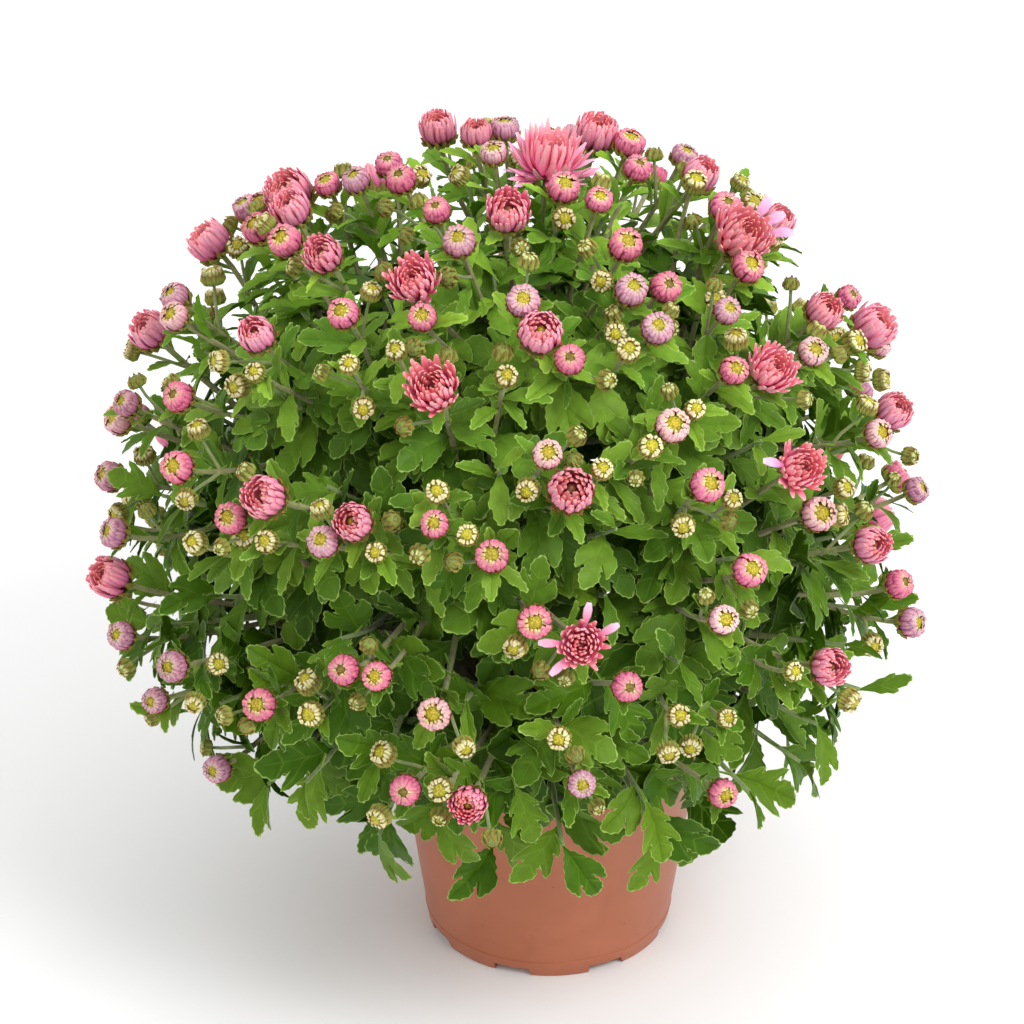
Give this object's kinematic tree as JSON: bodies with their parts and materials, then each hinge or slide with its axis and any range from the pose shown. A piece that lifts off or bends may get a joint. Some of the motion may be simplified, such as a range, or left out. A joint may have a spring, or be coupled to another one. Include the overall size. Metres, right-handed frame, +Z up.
{
  "type": "pot chrysanthemum",
  "caption": "Round bushy pot chrysanthemum: leafy budded sprays with pink double flower heads, growing in a tapered terracotta-coloured plastic nursery pot.",
  "frame": {"origin": "middle of the pot's underside, on the surface that it stands on", "axes": "+Z up, -Y towards the viewer's side with the most open heads, +X to the right"},
  "size_m": [0.4604, 0.4763, 0.5015],
  "materials": {
    "pot_plastic": "satin injection-moulded polypropylene, terracotta brown",
    "soil": "dark peat, moist and crumbly",
    "foliage": "matt mid-green living leaf, paler beneath, with fine felt",
    "petals": "soft satin pink petals"
  },
  "bodies": {
    "root": {"bloom_01": "petals", "bloom_02": "petals", "bloom_03": "petals", "bloom_04": "petals", "bloom_05": "petals", "bloom_06": "petals", "bloom_07": "petals", "bloom_08": "petals", "bloom_09": "petals", "bloom_10": "petals", "bloom_11": "petals", "bloom_12": "petals", "bloom_13": "petals", "bloom_14": "petals", "bloom_15": "petals", "bloom_16": "petals", "bloom_17": "petals", "bloom_18": "petals", "bloom_19": "petals", "bloom_20": "petals", "bloom_21": "petals", "bloom_22": "petals", "bloom_23": "petals", "bloom_24": "petals", "bloom_25": "petals", "bloom_26": "petals", "bloom_27": "petals", "bloom_28": "petals", "bloom_29": "petals", "bloom_30": "petals", "bloom_31": "petals", "bloom_32": "petals", "bloom_33": "petals", "bloom_34": "petals", "bloom_35": "petals", "bloom_36": "petals", "bloom_37": "petals", "bloom_38": "petals", "leafy_stem_01": "foliage", "leafy_stem_02": "foliage", "leafy_stem_03": "foliage", "leafy_stem_04": "foliage", "leafy_stem_05": "foliage", "leafy_stem_06": "foliage", "leafy_stem_07": "foliage", "leafy_stem_08": "foliage", "leafy_stem_09": "foliage", "leafy_stem_10": "foliage", "leafy_stem_11": "foliage", "leafy_stem_12": "foliage", "leafy_stem_13": "foliage", "leafy_stem_14": "foliage", "leafy_stem_15": "foliage", "leafy_stem_16": "foliage", "leafy_stem_17": "foliage", "leafy_stem_18": "foliage", "pot": "pot_plastic", "soil": "soil"}
  },
  "joints": []
}
